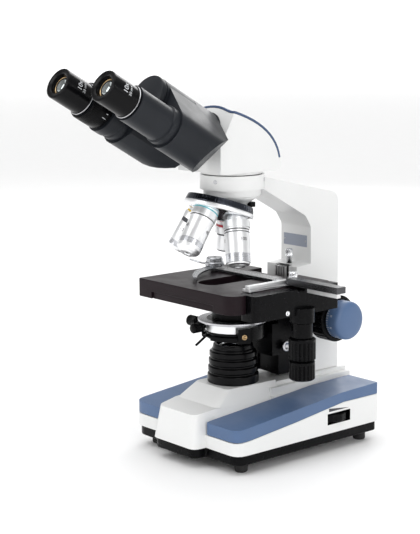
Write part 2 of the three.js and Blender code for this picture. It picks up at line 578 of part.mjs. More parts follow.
// The block below the roof cover, cut off by the upright front and the sloping face.
function makeHeadHousing() {
  const { halfX, bottomZ, rear, front, coverT } = HEAD;
  const faceBottomZ = PIVOT.z - (PIVOT.y - front) / Math.tan(rad(TUBE_SLOPE));
  const faceTop = onFace(50);
  const profile = outline([[rear, bottomZ + GAP], [rear, 340], [faceTop.x, 340], [faceTop.x, faceTop.y],
    [front, faceBottomZ], [front, bottomZ + 1.8, 2], [-30, bottomZ + GAP]]);
  const block = toSideView(extrude(profile, -halfX, halfX));
  const underCover = roofGrid(coverT + GAP);
  const core = gridSolid(underCover, underCover.map(([x, y]) => [x, y, 240]), ROOF_COLUMNS);
  const rearWall = box(-halfX, halfX, rear - 8, rear, 240, 267.2);
  const shaft = disc(15, 240, 268, 24);
  const prismRoom = box(-17, 17, -30, 17, 262, 292);
  const tubeBore = inTubeFrame(disc(12.3, -30, 5, 24));
  return cut(block.intersect(core.add(rearWall)), shaft, prismRoom, tubeBore);
}

function makeHeadCover() {
  const cover = gridSolid(roofGrid(0), roofGrid(HEAD.coverT), ROOF_COLUMNS);
  return cover.subtract(inTubeFrame(box(-60, 60, -90, 90, 0.2, 80)));
}

const tubeMatrix = new THREE.Matrix4().makeRotationX(rad(90 - TUBE_SLOPE))
  .premultiply(new THREE.Matrix4().makeTranslation(0, PIVOT.y, PIVOT.z));

function inTubeFrame(solid) {
  return place(solid, tubeMatrix);
}

// In the tube frame the hinge axis is Z, X is the user's right and Y is up along the sloping face.
const TUBE_X = TUBE_OFFSET * Math.cos(rad(TUBE_DROP));
const TUBE_Y = -TUBE_OFFSET * Math.sin(rad(TUBE_DROP));

// Rounded bar from the hinge axis to the tube axis.
function housingBar(r, z0, z1) {
  const a = Math.atan2(TUBE_Y, TUBE_X);
  const points = [];
  const steps = 12;
  for (let i = 0; i <= steps; i += 1) {
    const t = a + Math.PI / 2 + (Math.PI * i) / steps;
    points.push(new THREE.Vector2(r * Math.cos(t), r * Math.sin(t)));
  }
  for (let i = 0; i <= steps; i += 1) {
    const t = a - Math.PI / 2 + (Math.PI * i) / steps;
    points.push(new THREE.Vector2(TUBE_X + r * Math.cos(t), TUBE_Y + r * Math.sin(t)));
  }
  return extrude(points, z0, z1);
}

// Keeps what lies on the tube's side of the hinge, with room to fold inwards.
function foldRoom() {
  const wedge = extrude([new THREE.Vector2(0.4, 60), new THREE.Vector2(-80, 60), new THREE.Vector2(-80, -80),
    new THREE.Vector2(25.4, -80), new THREE.Vector2(0.4, 0)], -10, 120);
  return wedge;
}

// Slanted back of a housing, parallel to the mirror inside it.
function backSlant() {
  const a = Math.atan2(TUBE_Y, TUBE_X);
  const plane = box(0, 80, -60, 60, -80, 0);
  const tilt = new THREE.Matrix4().makeRotationY(rad(-45));
  const at = new THREE.Matrix4().makeTranslation(33.5, 0, HOUSING.back);
  const turn = new THREE.Matrix4().makeRotationZ(a);
  return place(plane, turn.multiply(at).multiply(tilt));
}

// side +1 is the right housing, whose barrel is next to the head; the left one has the front barrel.
function makeHousing(side) {
  const { r, back, front, split, barrelEnd } = HOUSING;
  const inner = r - 2.6;
  const barrel = side > 0 ? [back, split - GAP] : [split, barrelEnd];
  const otherBarrel = side > 0 ? [split - GAP, 120] : [0, split];
  const web = cut(housingBar(r, back, front), foldRoom(), backSlant(), disc(r + 0.5, ...otherBarrel, 36));
  const hollow = cut(housingBar(inner, back + 2.5, front - 2.5), foldRoom(),
    move(backSlant(), -2, 1.5, 3), disc(r + 3, ...otherBarrel, 40));
  const outside = side > 0 ? [[17.3, front - 3], [17.3, 70], [TUBE.r, 71], [TUBE.r, TUBE.end]]
    : [[17.3, front - 3], [17.3, 70], [16.4, 71], [16.4, 75.4], [18, 76], [18, 84.4], [TUBE.leftR, 85],
      [TUBE.leftR, TUBE.end]];
  const eyeTube = move(lathe([[TUBE.bore, front - 3], ...outside, [TUBE.bore, TUBE.end],
    [TUBE.bore, front - 3]], 28), TUBE_X, TUBE_Y, 0);
  const tubeBore = move(disc(TUBE.bore, front - 8, 140, 28), TUBE_X, TUBE_Y, 0);
  const hingeBore = disc(13.4, -10, 100, 24);
  const body = union(disc(r, ...barrel, 36), web);
  const result = cut(body, hollow, hingeBore).add(eyeTube).subtract(tubeBore);
  return side > 0 ? result : result.mirror([1, 0, 0]);
}

// Hollow hinge pin: disc against the head, pin through both barrels, cap in front.
function makeHinge() {
  const { r, barrelEnd, capEnd } = HOUSING;
  const pin = lathe([[10.6, GAP], [20.2, GAP], [20.2, 2.2], [13.1, 2.3], [13.1, barrelEnd + GAP],
    [r, barrelEnd + GAP], [r, capEnd - 0.8], [r - 0.8, capEnd], [0, capEnd], [0, capEnd - 3],
    [10.6, capEnd - 3], [10.6, GAP]], 32);
  return pin;
}

function makeDioptreRing() {
  const ring = tube(TUBE.leftR + 0.1, 16.7, 86, 106.8, 32);
  return move(flute(ring, 14, 17, 0.8, 97, 108), -TUBE_X, TUBE_Y, 0);
}

function makeEyepiece(side) {
  const { r, seat, end, barrelR } = EYEPIECE;
  const body = lathe([[8, 80], [barrelR - 0.1, 80], [barrelR - 0.1, seat], [15, seat], [15.2, seat + 1.4],
    [r, seat + 2.6], [r, end - 1], [r - 1, end], [9, end], [7.8, end - 2.4], [7.8, end - 9],
    [8, end - 9], [8, 80]], 28);
  return move(body, side * TUBE_X, TUBE_Y, 0);
}

// ---- assembly --------------------------------------------------------------------------------------
add('base_shell', makeBaseShell(), WHITE);
add('bottom_plate', cut(extrude(basePlan(1.4), FOOT.height + GAP, BASE.floorZ - GAP),
  box(-40, -10, 96, 106, 0, 14)), BLACK);
add('side_cover_right', makeCover(1), BLUE);
add('side_cover_left', makeCover(-1), BLUE);
for (const [name, x, y] of [
  ['foot_front_left', -FOOT.x, FOOT.frontY], ['foot_front_right', FOOT.x, FOOT.frontY],
  ['foot_rear_left', -FOOT.x, FOOT.rearY], ['foot_rear_right', FOOT.x, FOOT.rearY]]) {
  const foot = lathe([[0, 0], [FOOT.r - 1, 0], [FOOT.r, 1], [FOOT.r, FOOT.height], [0, FOOT.height]], 16);
  add(name, move(foot, x, y, 0), RUBBER);
}
add('arm', makeArm(), WHITE);
add('brightness_wheel', move(flute(button(WHEEL.r, 28, 35, 0.6, 24), 18, WHEEL.r + 0.3, 0.8, 27, 36),
  WHEEL.x, WHEEL.y, 0), BLACK);
add('power_switch', sideExtrude([[112, 28, 0.5], [119, 28, 0.6], [120.6, 42, 0.6], [112, 42, 0.5]],
  13, 29), BLACK);
add('power_inlet', cut(box(-23.5, 3.5, 110, 119.5, 24.5, 45.5), box(-20, 0, 114, 125, 28, 42)), BLACK);
add('lamp_module', union(box(-14, 14, -14, 14, 22, 40), disc(11, 38, 54, 28)), STEEL);
add('illuminator_housing', makeIlluminator(), BLACK);
add('field_lens', lathe([[0, 94.6], [14.7, 94.6], [14.7, 96.6], [11, 98], [6, 99], [0, 99.4]], 24), GLASS);
add('stage_stop_screw', move(union(disc(2.3, 150, 171, 16), button(3.6, 171, 178, 0.6, 18)),
  0, STOP_Y, 0), CHROME);

for (const [label, side] of [['right', 1], ['left', -1]]) {
  add(`coarse_knob_${label}`, makeCoarseKnob(side), BLACK);
  add(`fine_knob_${label}`, makeFineKnob(side), BLUE);
}
add('coarse_shaft', makeCoarseShaft(), STEEL);
add('fine_shaft', acrossX(disc(2.9, -55.6, 55.6, 20)), STEEL);
add('tension_ring', acrossX(flute(tube(5.7, 17, 20.4, 27, 28), 12, 17.2, 0.9, 20, 28)), BLACK);
add('focus_carriage', makeCarriage(), BLACK);
add('focus_rack', makeRack(), STEEL);

add('stage_lower_plate', makeLowerPlate(), STAGE_BLACK);
add('stage_upper_plate', makeUpperPlate(), STAGE_BLACK);
add('stage_side_rail', makeSideRail(), BLACK);
add('slide_holder', makeSlideHolder(), BLACK);
add('slide_stop_arm', makeStopArm(), CHROME);
add('slide_clip', makeClip(), CHROME);
add('holder_screw', move(union(disc(2, 158.8, 165, 14), button(4, 164.1, 170, 0.6, 20)),
  HOLDER_SCREW.x, HOLDER_SCREW.y, 0), CHROME);
add('xy_shaft', move(union(disc(9.3, 113.9, 127.7, 32), disc(4, 76.4, 134.6, 20)),
  XY_AXIS.x, XY_AXIS.y, 0), BLACK);
add('y_knob', makeXYKnob(12.1, 93.8, 113.5, 16), BLACK);
add('x_knob', makeXYKnob(11.5, 76, 93.2, 16), BLACK);

add('condenser_bracket', makeCondenserBracket(), BLACK);
add('condenser_body', makeCondenserBody(), BLACK);
add('condenser_collar', makeCondenserCollar(), STEEL);
add('condenser_lens', lathe([[0, 124], [10.9, 124], [10.9, 146], [9.4, 148], [0, 148]], 28), GLASS);
add('iris_lever', makeIrisLever(), BLACK);
add('centring_screw_left', makeScrew([-1, 0, 0], [-14, -13, 114.8],
  { shaftR: 1.7, knobR: 5, shaft: 20, knob: 12 }), BLACK);
add('centring_screw_front', makeScrew([0, -1, 0], [-16.5, -15.6, 114.2],
  { shaftR: 1.7, knobR: 4.4, shaft: 6.8, knob: 12 }), BLACK);
const condenserKnob = union(disc(2.5, -25.6, 26, 16), button(9, 25.6, 38, 0.8, 28),
  disc(4.4, -26.4, -24, 20));
add('condenser_knob', along(condenserKnob, [-1, 0, 0], [0, CONDENSER_SHAFT.y, CONDENSER_SHAFT.z]), BLACK);

const turretFrame = new THREE.Group();
turretFrame.position.set(0, APEX.y, APEX.z);
turretFrame.rotation.x = rad(-TURRET_TILT);
model.add(turretFrame);
add('nosepiece_mount', makeNosepieceMount(), BLACK);
add('nosepiece_turret', makeTurret(), CHROME, turretFrame);
add('nosepiece_grip_ring', makeGripRing(), BLACK, turretFrame);
OBJECTIVES.forEach(([name, steps], i) => {
  const objectiveFrame = new THREE.Group();
  objectiveFrame.applyMatrix4(objectiveMatrix(i));
  turretFrame.add(objectiveFrame);
  add(name, makeObjective(steps), CHROME, objectiveFrame);
});

add('head_flange', lathe([[16, 248], [25, 248], [25.3, 252], [24.6, 254.3], [27, 254.6], [27, HEAD.bottomZ],
  [16, HEAD.bottomZ], [16, 248]], 28), BLACK);
add('head_housing', makeHeadHousing(), WHITE);
add('head_cover', makeHeadCover(), BLUE);
add('head_prism', sideExtrude([[-16, 262.6], [14, 262.6], [14, 276], [-16, 286]], -12, 12), GLASS);

const tubeFrame = new THREE.Group();
tubeFrame.position.set(0, PIVOT.y, PIVOT.z);
tubeFrame.rotation.x = rad(90 - TUBE_SLOPE);
model.add(tubeFrame);
add('tube_hinge', makeHinge(), BLACK, tubeFrame);
add('prism_housing_right', makeHousing(1), BLACK, tubeFrame);
add('prism_housing_left', makeHousing(-1), BLACK, tubeFrame);
add('dioptre_ring', makeDioptreRing(), BLACK, tubeFrame);
add('eyepiece_right', makeEyepiece(1), BLACK, tubeFrame);
add('eyepiece_left', makeEyepiece(-1), BLACK, tubeFrame);

// The row's origin is the centre of the footprint, on the floor.
model.updateMatrixWorld(true);
const bounds = new THREE.Box3().setFromObject(model, true);
const centre = bounds.getCenter(new THREE.Vector3());
const part = new THREE.Group();
model.position.set(-centre.x, -centre.y, -bounds.min.z);
part.add(model);
part.updateMatrixWorld(true);

export default part;
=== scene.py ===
"""Looks of a binocular microscope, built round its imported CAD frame.

Lengths are millimetres until mm() turns them into the row frame's metres. Places are measured from
the optical axis, as in the CAD, and radii from the axis of the piece itself."""
import math

import bmesh
import bpy
from mathutils import Matrix, Vector


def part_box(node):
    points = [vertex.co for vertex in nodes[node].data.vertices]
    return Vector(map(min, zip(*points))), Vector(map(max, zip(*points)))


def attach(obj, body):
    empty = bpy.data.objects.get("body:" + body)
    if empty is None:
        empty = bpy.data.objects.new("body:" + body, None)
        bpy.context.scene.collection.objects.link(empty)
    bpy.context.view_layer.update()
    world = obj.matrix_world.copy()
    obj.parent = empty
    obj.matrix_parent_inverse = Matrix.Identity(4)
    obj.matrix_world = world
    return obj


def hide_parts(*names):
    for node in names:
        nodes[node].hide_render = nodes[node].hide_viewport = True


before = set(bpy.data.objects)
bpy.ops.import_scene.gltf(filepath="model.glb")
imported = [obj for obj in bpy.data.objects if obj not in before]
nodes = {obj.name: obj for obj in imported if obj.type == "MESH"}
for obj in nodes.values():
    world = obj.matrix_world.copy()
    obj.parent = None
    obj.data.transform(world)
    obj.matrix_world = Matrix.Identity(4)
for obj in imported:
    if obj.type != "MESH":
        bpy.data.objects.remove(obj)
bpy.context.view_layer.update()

MM = 0.001
lens_low, lens_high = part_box("field_lens")
AXIS = Vector(((lens_low.x + lens_high.x) / 2, (lens_low.y + lens_high.y) / 2, 0)) / MM

# Driving dimensions of the CAD that the finer pieces share.
FOOT_X, FOOT_FRONT, FOOT_REAR = 58, -42, 106
BASE_SIDE = 72                         # half the base's width
PLINTH_Z = 63.9                        # where the illuminator stands
ARM_FRONT = 79.0
LABEL_Z = 185.5
RING_R = 29                            # the arm's ring that carries the head
RING_SCREW_Z = 249
RING_BOTTOM = 234.9
FOCUS_Y, FOCUS_Z = 80, 118.6           # axis of the focus shafts
COARSE_R, FINE_R = 21.5, 17.6
CONDENSER_Y, CONDENSER_Z = 43, 93.3    # axis of the condenser's drive
XY_X, XY_Y = 74, 16                    # axis of the stage's two drive knobs
HOLDER_SCREW = (57.8, 20, 0)           # axes of the two knurled screws
STAGE_STOP = (0, 70.4, 0)
APEX = (0, 1, 273.2)                   # where the turret's and all objectives' axes cross
TURRET_TILT = math.radians(18.93)
TURRET_TOP = 45                        # from the apex down to the turret's top face
FIRST_OBJECTIVE = math.radians(72.5)   # from the working position
SHOULDER = 60.1                        # from the apex to an objective's shoulder
HINGE = (0, -33.15, 291.2)
TUBE_SLOPE = math.radians(30)
TUBE_OFFSET = 39.5                     # tube axis to hinge axis
TUBE_DROP = math.radians(37)           # how far each tube is folded below level
TUBE_X = TUBE_OFFSET * math.cos(TUBE_DROP)
TUBE_Y = -TUBE_OFFSET * math.sin(TUBE_DROP)
EYEPIECE_R = 13.8
DIOPTRE_R = 16.7
# How far printed marks stand off their surface.
TICK_LIFT, SCALE_LIFT, PRINT_LIFT = 0.04, 0.05, 0.06
QUARTER = math.pi / 2


def mm(matrix):
    """A placement in millimetres from the optical axis, as one in the row frame's metres."""
    placed = Matrix.Translation(AXIS) @ matrix
    placed.translation = placed.translation * MM
    return placed


def at(x, y, z):
    return Matrix.Translation((x, y, z))


def rotated(angle, axis):
    return Matrix.Rotation(angle, 4, axis)


# ---- materials ------------------------------------------------------------------------------
NOISE_LOW, NOISE_HIGH = 0.3, 0.7       # most noise values lie between these
GRAIN_HEIGHT = 0.00012                 # metres
TOOL_MARK_HEIGHT = 0.00008             # metres


def new_material(name, colour, roughness, metallic=0.0, coat=0.0, specular=0.5):
    m = bpy.data.materials.new(name)
    m.use_nodes = True
    shader = m.node_tree.nodes["Principled BSDF"]
    shader.inputs["Base Color"].default_value = (*colour, 1)
    shader.inputs["Roughness"].default_value = roughness
    shader.inputs["Metallic"].default_value = metallic
    shader.inputs["Coat Weight"].default_value = coat
    shader.inputs["Coat Roughness"].default_value = 0.08
    shader.inputs["Specular IOR Level"].default_value = specular
    return m, shader


def noise(m, scale, detail=3.0, vector=None):
    tree = m.node_tree
    node = tree.nodes.new("ShaderNodeTexNoise")
    node.inputs["Scale"].default_value = scale
    node.inputs["Detail"].default_value = detail
    if vector is None:
        vector = tree.nodes.new("ShaderNodeTexCoord").outputs["Object"]
    tree.links.new(vector, node.inputs["Vector"])
    return node.outputs["Fac"]


def spread(m, value, low, high):
    """Stretches a noise value over low to high."""
    node = m.node_tree.nodes.new("ShaderNodeMapRange")
    node.inputs["From Min"].default_value = NOISE_LOW
    node.inputs["From Max"].default_value = NOISE_HIGH
    node.inputs["To Min"].default_value = low
    node.inputs["To Max"].default_value = high
    m.node_tree.links.new(value, node.inputs["Value"])
    return node.outputs["Result"]


def mottle(m, shader, colour, amount, scale):
    """Slow change of shade over the surface."""
    mix = m.node_tree.nodes.new("ShaderNodeMix")
    mix.data_type = "RGBA"
    mix.inputs["A"].default_value = (*[c * (1 - amount) for c in colour], 1)
    mix.inputs["B"].default_value = (*[min(1, c * (1 + amount)) for c in colour], 1)
    m.node_tree.links.new(spread(m, noise(m, scale), 0, 1), mix.inputs["Factor"])
    m.node_tree.links.new(mix.outputs["Result"], shader.inputs["Base Color"])


def bump(m, shader, height, strength, distance):
    node = m.node_tree.nodes.new("ShaderNodeBump")
    node.inputs["Strength"].default_value = strength
    node.inputs["Distance"].default_value = distance
    m.node_tree.links.new(height, node.inputs["Height"])
    m.node_tree.links.new(node.outputs["Normal"], shader.inputs["Normal"])


def painted(name, colour, roughness, coat=0.0, grain=1400, depth=0.12, shade=0.04, specular=0.5):
    """Sprayed or moulded surface: fine grain, cloudy gloss and a little change of shade."""
    m, shader = new_material(name, colour, roughness, coat=coat, specular=specular)
    mottle(m, shader, colour, shade, 22)
    gloss = spread(m, noise(m, 60), roughness * 0.86, roughness * 1.14)
    m.node_tree.links.new(gloss, shader.inputs["Roughness"])
    bump(m, shader, noise(m, grain, 2), depth, GRAIN_HEIGHT)
    return m


def turned(name, colour, roughness, depth=0.12, shade=0.05):
    """Lathe-turned metal: fine rings about the piece's own Z axis."""
    m, shader = new_material(name, colour, roughness, metallic=1.0)
    mottle(m, shader, colour, shade, 70)
    tree = m.node_tree
    coords = tree.nodes.new("ShaderNodeTexCoord").outputs["Object"]
    split = tree.nodes.new("ShaderNodeSeparateXYZ")
    flat = tree.nodes.new("ShaderNodeVectorMath")
    flat.operation = "MULTIPLY"
    flat.inputs[1].default_value = (1, 1, 0)
    length = tree.nodes.new("ShaderNodeVectorMath")
    length.operation = "LENGTH"
    rings = tree.nodes.new("ShaderNodeCombineXYZ")
    tree.links.new(coords, split.inputs[0])
    tree.links.new(coords, flat.inputs[0])
    tree.links.new(flat.outputs["Vector"], length.inputs[0])
    tree.links.new(length.outputs["Value"], rings.inputs["X"])
    tree.links.new(split.outputs["Z"], rings.inputs["Z"])
    tool_marks = noise(m, 2600, 2, rings.outputs[0])
    bump(m, shader, tool_marks, depth, TOOL_MARK_HEIGHT)
    gloss = spread(m, tool_marks, roughness * 0.8, roughness * 1.25)
    tree.links.new(gloss, shader.inputs["Roughness"])
    return m


def glassy(name, colour, roughness=0.02):
    m, shader = new_material(name, colour, roughness)
    shader.inputs["Transmission Weight"].default_value = 1.0
    shader.inputs["IOR"].default_value = 1.5
    gloss = spread(m, noise(m, 90), roughness, roughness * 1.6)
    m.node_tree.links.new(gloss, shader.inputs["Roughness"])
    return m


def coated_lens(name, colour):
    m, shader = new_material(name, colour, 0.05, metallic=0.85, coat=1.0)
    mottle(m, shader, colour, 0.35, 120)
    return m


WHITE = painted("white_enamel", (0.78, 0.785, 0.78), 0.34, coat=0.15, grain=900, depth=0.06,
                shade=0.012)
BLUE = painted("blue_moulding", (0.075, 0.135, 0.262), 0.42, grain=2600, depth=0.22, shade=0.05)
EDGE_BLUE = painted("blue_trim", (0.04, 0.075, 0.16), 0.35, grain=2600, depth=0.15, shade=0.05)
BLACK = painted("black_enamel", (0.0025, 0.0025, 0.003), 0.28, grain=1800, depth=0.10, shade=0.12,
                specular=0.09)
HOUSING = painted("housing_black", (0.014, 0.016, 0.020), 0.36, grain=2200, depth=0.2, shade=0.10,
                  specular=0.2)
STAGE = painted("stage_coating", (0.012, 0.007, 0.009), 0.32, grain=3200, depth=0.12, shade=0.10,
                specular=0.11)
PLASTIC = painted("black_plastic", (0.0025, 0.0025, 0.003), 0.26, grain=2400, depth=0.14,
                  shade=0.10, specular=0.1)
BARREL = painted("barrel_black", (0.003, 0.003, 0.0035), 0.22, grain=1500, depth=0.05, shade=0.08,
                 specular=0.12)
RUBBER = painted("rubber", (0.014, 0.014, 0.014), 0.78, grain=1600, depth=0.4, shade=0.15)
CHROME = turned("chrome", (0.88, 0.89, 0.91), 0.15, depth=0.004, shade=0.02)
SATIN = turned("satin_chrome", (0.93, 0.935, 0.945), 0.40, depth=0.004, shade=0.015)
FROST = turned("frosted_band", (0.88, 0.89, 0.90), 0.42, depth=0.12, shade=0.02)
STEEL = turned("steel", (0.56, 0.56, 0.58), 0.28, depth=0.16)
RULER = turned("ruler_aluminium", (0.80, 0.80, 0.80), 0.42, depth=0.05)
BRASS = turned("brass", (0.55, 0.38, 0.20), 0.30, depth=0.10)
BAND = turned("barrel_band", (0.66, 0.67, 0.70), 0.28, depth=0.01, shade=0.03)
NICKEL = turned("black_nickel", (0.10, 0.10, 0.105), 0.25, depth=0.01, shade=0.05)
CLIP_METAL = turned("clip_nickel", (0.42, 0.43, 0.45), 0.2, depth=0.01, shade=0.04)
DARK = turned("dark_nickel", (0.055, 0.06, 0.075), 0.22, depth=0.02)
CYAN = painted("ring_cyan", (0.10, 0.48, 0.55), 0.4, depth=0.05)
YELLOW = painted("ring_yellow", (0.75, 0.48, 0.03), 0.4, depth=0.05)
RED = painted("ring_red", (0.55, 0.03, 0.05), 0.4, depth=0.05)
RING_WHITE = painted("ring_white", (0.80, 0.80, 0.80), 0.4, depth=0.05)
MARK = painted("white_marking", (0.72, 0.74, 0.76), 0.5, depth=0.05)
INK = painted("dark_marking", (0.05, 0.05, 0.06), 0.5, depth=0.05)
PLATE = painted("label_plate", (0.30, 0.33, 0.40), 0.38, depth=0.08, shade=0.06)
GLASS = glassy("lens_glass", (0.86, 0.92, 0.95))
COATING = coated_lens("lens_coating", (0.30, 0.33, 0.33))


# ---- shapes ---------------------------------------------------------------------------------
BEVEL_ANGLE = math.radians(28)         # of the finer pieces
NODE_BEVEL_ANGLE = math.radians(30)    # of the CAD's own parts
FLAT_ANGLE = math.radians(0.6)         # facets this close to level become one
WELD_DISTANCE = 2e-6                   # metres
RIB_STEPS = 6                          # steps round the lathe for each rib and its groove


def finish_piece(obj, body, hides, bevel):
    if bevel:
        edge = obj.modifiers.new("edges", "BEVEL")
        edge.limit_method = "ANGLE"
        edge.angle_limit = BEVEL_ANGLE
        edge.width = bevel * MM
        edge.segments = 2
        edge.harden_normals = True
    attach(obj, body)
    if hides:
        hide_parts(*hides)
    return obj


def to_object(name, bm, place, materials):
    mesh = bpy.data.meshes.new(name)
    bmesh.ops.scale(bm, vec=(MM, MM, MM), verts=bm.verts)
    bm.to_mesh(mesh)
    bm.free()
    for m in materials:
        mesh.materials.append(m)
    mesh.shade_smooth()
    obj = bpy.data.objects.new(name, mesh)
    bpy.context.scene.collection.objects.link(obj)
    obj.matrix_world = mm(place)
    return obj


def lathe_ring(bm, point, steps, depth):
    """One ring of the lathe. A point marked True has two low steps out of every six."""
    radius, height = point[0], point[1]
    grooved = len(point) > 2
    ring = []
    for j in range(steps):
        r = radius - (depth if grooved and j % RIB_STEPS in (0, 1) else 0)
        angle = 2 * math.pi * j / steps
        ring.append(bm.verts.new((r * math.cos(angle), r * math.sin(angle), height)))
    return ring


def lathe(name, profile, place, body, materials, hides=(), bands=(), ribs=None,
          steps=96, bevel=0.25):
    """Turns (radius, height) points about Z. ribs is (count, depth) and cuts grooves into points
    marked True. bands are (material number, from height, to height)."""
    count, depth = ribs or (0, 0)
    if count:
        steps = count * RIB_STEPS
    bm = bmesh.new()
    rings = [lathe_ring(bm, point, steps, depth) for point in profile]
    for i in range(len(rings) - 1):
        middle = (profile[i][1] + profile[i + 1][1]) / 2
        number = 0
        for band, low, high in bands:
            if low <= middle <= high:
                number = band
        ring, following = rings[i], rings[i + 1]
        for j in range(steps):
            k = (j + 1) % steps
            face = bm.faces.new((ring[j], ring[k], following[k], following[j]))
            face.material_index = number
    bmesh.ops.remove_doubles(bm, verts=bm.verts, dist=1e-4)
    bmesh.ops.recalc_face_normals(bm, faces=bm.faces)
    return finish_piece(to_object(name, bm, place, materials), body, hides, bevel)


def block(name, low, high, body, m, bevel=0.4):
    """A box between two corners with softened edges."""
    bm = bmesh.new()
    bmesh.ops.create_cube(bm, size=1)
    for v in bm.verts:
        v.co = Vector([(a + b) / 2 + c * (b - a) for a, b, c in zip(low, high, v.co)])
    return finish_piece(to_object(name, bm, Matrix(), [m]), body, (), bevel)


def marks(name, boxes, radius, place, body, m):
    """Thin printed marks on a cylinder about Z: (degrees, width, low height, high height)."""
    bm = bmesh.new()
    for angle, width, low, high in boxes:
        half = width / 2 / radius
        middle = math.radians(angle)
        corners = [(middle - half, low), (middle + half, low),
                   (middle + half, high), (middle - half, high)]
        points = [(radius * math.cos(a), radius * math.sin(a), h) for a, h in corners]
        bm.faces.new([bm.verts.new(point) for point in points])
    return finish_piece(to_object(name, bm, place, [m]), body, (), 0)


def numeral(name, text, size, radius, angle, height, place, body, m, spin=0):
    """A printed number wrapped round a cylinder about Z, turned by spin degrees on its surface."""
    curve = bpy.data.curves.new(name, "FONT")
    curve.body = text
    curve.size = size
    curve.align_x = "CENTER"
    curve.align_y = "CENTER"
    maker = bpy.data.objects.new(name + "_maker", curve)
    bpy.context.scene.collection.objects.link(maker)
    bpy.context.view_layer.update()
    shown = maker.evaluated_get(bpy.context.evaluated_depsgraph_get())
    flat = bpy.data.meshes.new_from_object(shown)
    bpy.data.objects.remove(maker)
    bm = bmesh.new()
    bm.from_mesh(flat)
    bpy.data.meshes.remove(flat)
    for v in bm.verts:
        spot = Matrix.Rotation(math.radians(spin), 3, "Z") @ v.co
        round_by = math.radians(angle) + spot.x / radius
        v.co = Vector((radius * math.cos(round_by), radius * math.sin(round_by), height + spot.y))
    return finish_piece(to_object(name, bm, place, [m]), body, (), 0)


def paint_zone(obj, number, low, high):
    """Gives a material number to the faces whose middle is between two corners."""
    for face in obj.data.polygons:
        middle = face.center / MM - AXIS
        if all(a <= c <= b for a, c, b in zip(low, middle, high)):
            face.material_index = number


def dress(node, m, bevel=0.5, zones=(), segments=3):
    """A CAD node keeps its shape and gets a material, soft edges and smooth curved faces. Each
    zone is a material, and a low and a high corner from the optical axis."""
    obj = nodes[node]
    obj.data.materials.clear()
    obj.data.materials.append(m)
    for number, (zone_material, low, high) in enumerate(zones, 1):
        obj.data.materials.append(zone_material)
        paint_zone(obj, number, low, high)
    custom = obj.data.attributes.get("custom_normal")
    if custom:
        obj.data.attributes.remove(custom)
    obj.data.shade_smooth()
    weld = obj.modifiers.new("weld", "WELD")
    weld.merge_threshold = WELD_DISTANCE
    flats = obj.modifiers.new("flats", "DECIMATE")
    flats.decimate_type = "DISSOLVE"
    flats.angle_limit = FLAT_ANGLE
    flats.delimit = {"MATERIAL"}
    edge = obj.modifiers.new("edges", "BEVEL")
    edge.limit_method = "ANGLE"
    edge.angle_limit = NODE_BEVEL_ANGLE
    edge.width = bevel * MM
    edge.segments = segments
    edge.harden_normals = True


# ---- stand ----------------------------------------------------------------------------------
def dress_stand():
    wheel_recess = (PLASTIC, (59, 50, 26), (71.9, 80, 37.5))
    dress("base_shell", WHITE, 0.9, zones=(wheel_recess,))
    dress("bottom_plate", BLACK, 1.2)
    dress("side_cover_right", BLUE, 2.2, segments=4)
    dress("side_cover_left", BLUE, 2.2, segments=4)
    dress("arm", WHITE, 1.2)
    dress("lamp_module", STEEL, 0.3)
    dress("power_switch", PLASTIC, 0.5)
    dress("power_inlet", PLASTIC, 0.6)
    dress("brightness_wheel", PLASTIC, 0.25)


def feet():
    outline = [(0, 1.6), (1.8, 1.6), (2, 0.2), (4.4, 0), (5.4, 0.5), (5.8, 1.5), (5.8, 8.8),
               (0, 8.8)]
    for end, y in (("front", FOOT_FRONT), ("rear", FOOT_REAR)):
        for side, x in (("left", -FOOT_X), ("right", FOOT_X)):
            lathe(f"rubber_foot_{end}_{side}", outline, at(x, y, 0), "stand", [RUBBER],
                  [f"foot_{end}_{side}"], steps=48)


def illuminator():
    """A foot flange, three ribs that get narrower upwards, and the field lens in its rim."""
    outline = [(15.2, PLINTH_Z), (23.6, PLINTH_Z), (23.6, 71.0), (23.1, 71.7), (21.2, 71.9),
               (21.2, 73.4)]
    for i in range(3):
        z = 74.2 + 6.9 * i
        r = 23 - 0.7 * i
        outline += [(r, z), (r, z + 4.2), (r - 2, z + 4.8), (r - 2, z + 6.1)]
    outline += [(18.6, 95.2), (18.2, 98.4), (17.6, 99), (15.2, 99), (15, 94), (15.2, 93)]
    lathe("illuminator_barrel", outline, Matrix(), "stand", [BARREL],
          ["illuminator_housing"], bevel=0.5)
    lens = [(0, 94.6), (14.7, 94.6), (14.7, 96.4), (13, 97.3), (9, 98.6), (4.5, 99.2), (0, 99.4)]
    lathe("illuminator_lens", lens, Matrix(), "stand", [GLASS], ["field_lens"], bevel=0)


def label_plate():
    block("label_plate", (-16, ARM_FRONT - 0.5, 180), (15, ARM_FRONT - 0.02, 191), "stand", PLATE,
          bevel=0.2)
    rivet = [(0, 0), (0.9, 0), (0.7, 0.4), (0, 0.55)]
    for label, x in (("left", -14.5), ("right", 13.5)):
        place = at(x, ARM_FRONT - 0.5, LABEL_Z) @ rotated(QUARTER, "X")
        lathe(f"label_rivet_{label}", rivet, place, "stand", [STEEL], steps=24, bevel=0)


def head_set_screws():
    screw = [(0, 0.15), (0.9, 0.15), (1.0, 0.35), (1.7, 0.35), (1.9, 0.1), (1.9, -1), (0, -1)]
    for label, angle in (("left", -72), ("right", 38)):
        place = rotated(math.radians(angle), "Z") @ at(RING_R, 0, RING_SCREW_Z)
        lathe(f"head_set_screw_{label}", screw, place @ rotated(QUARTER, "Y"), "stand", [STEEL],
              steps=36, bevel=0.1)


# ---- focus drive ----------------------------------------------------------------------------
def across(side):
    """The focus shaft's frame, with Z pointing out to that side."""
    return at(0, FOCUS_Y, FOCUS_Z) @ rotated(side * QUARTER, "Y")


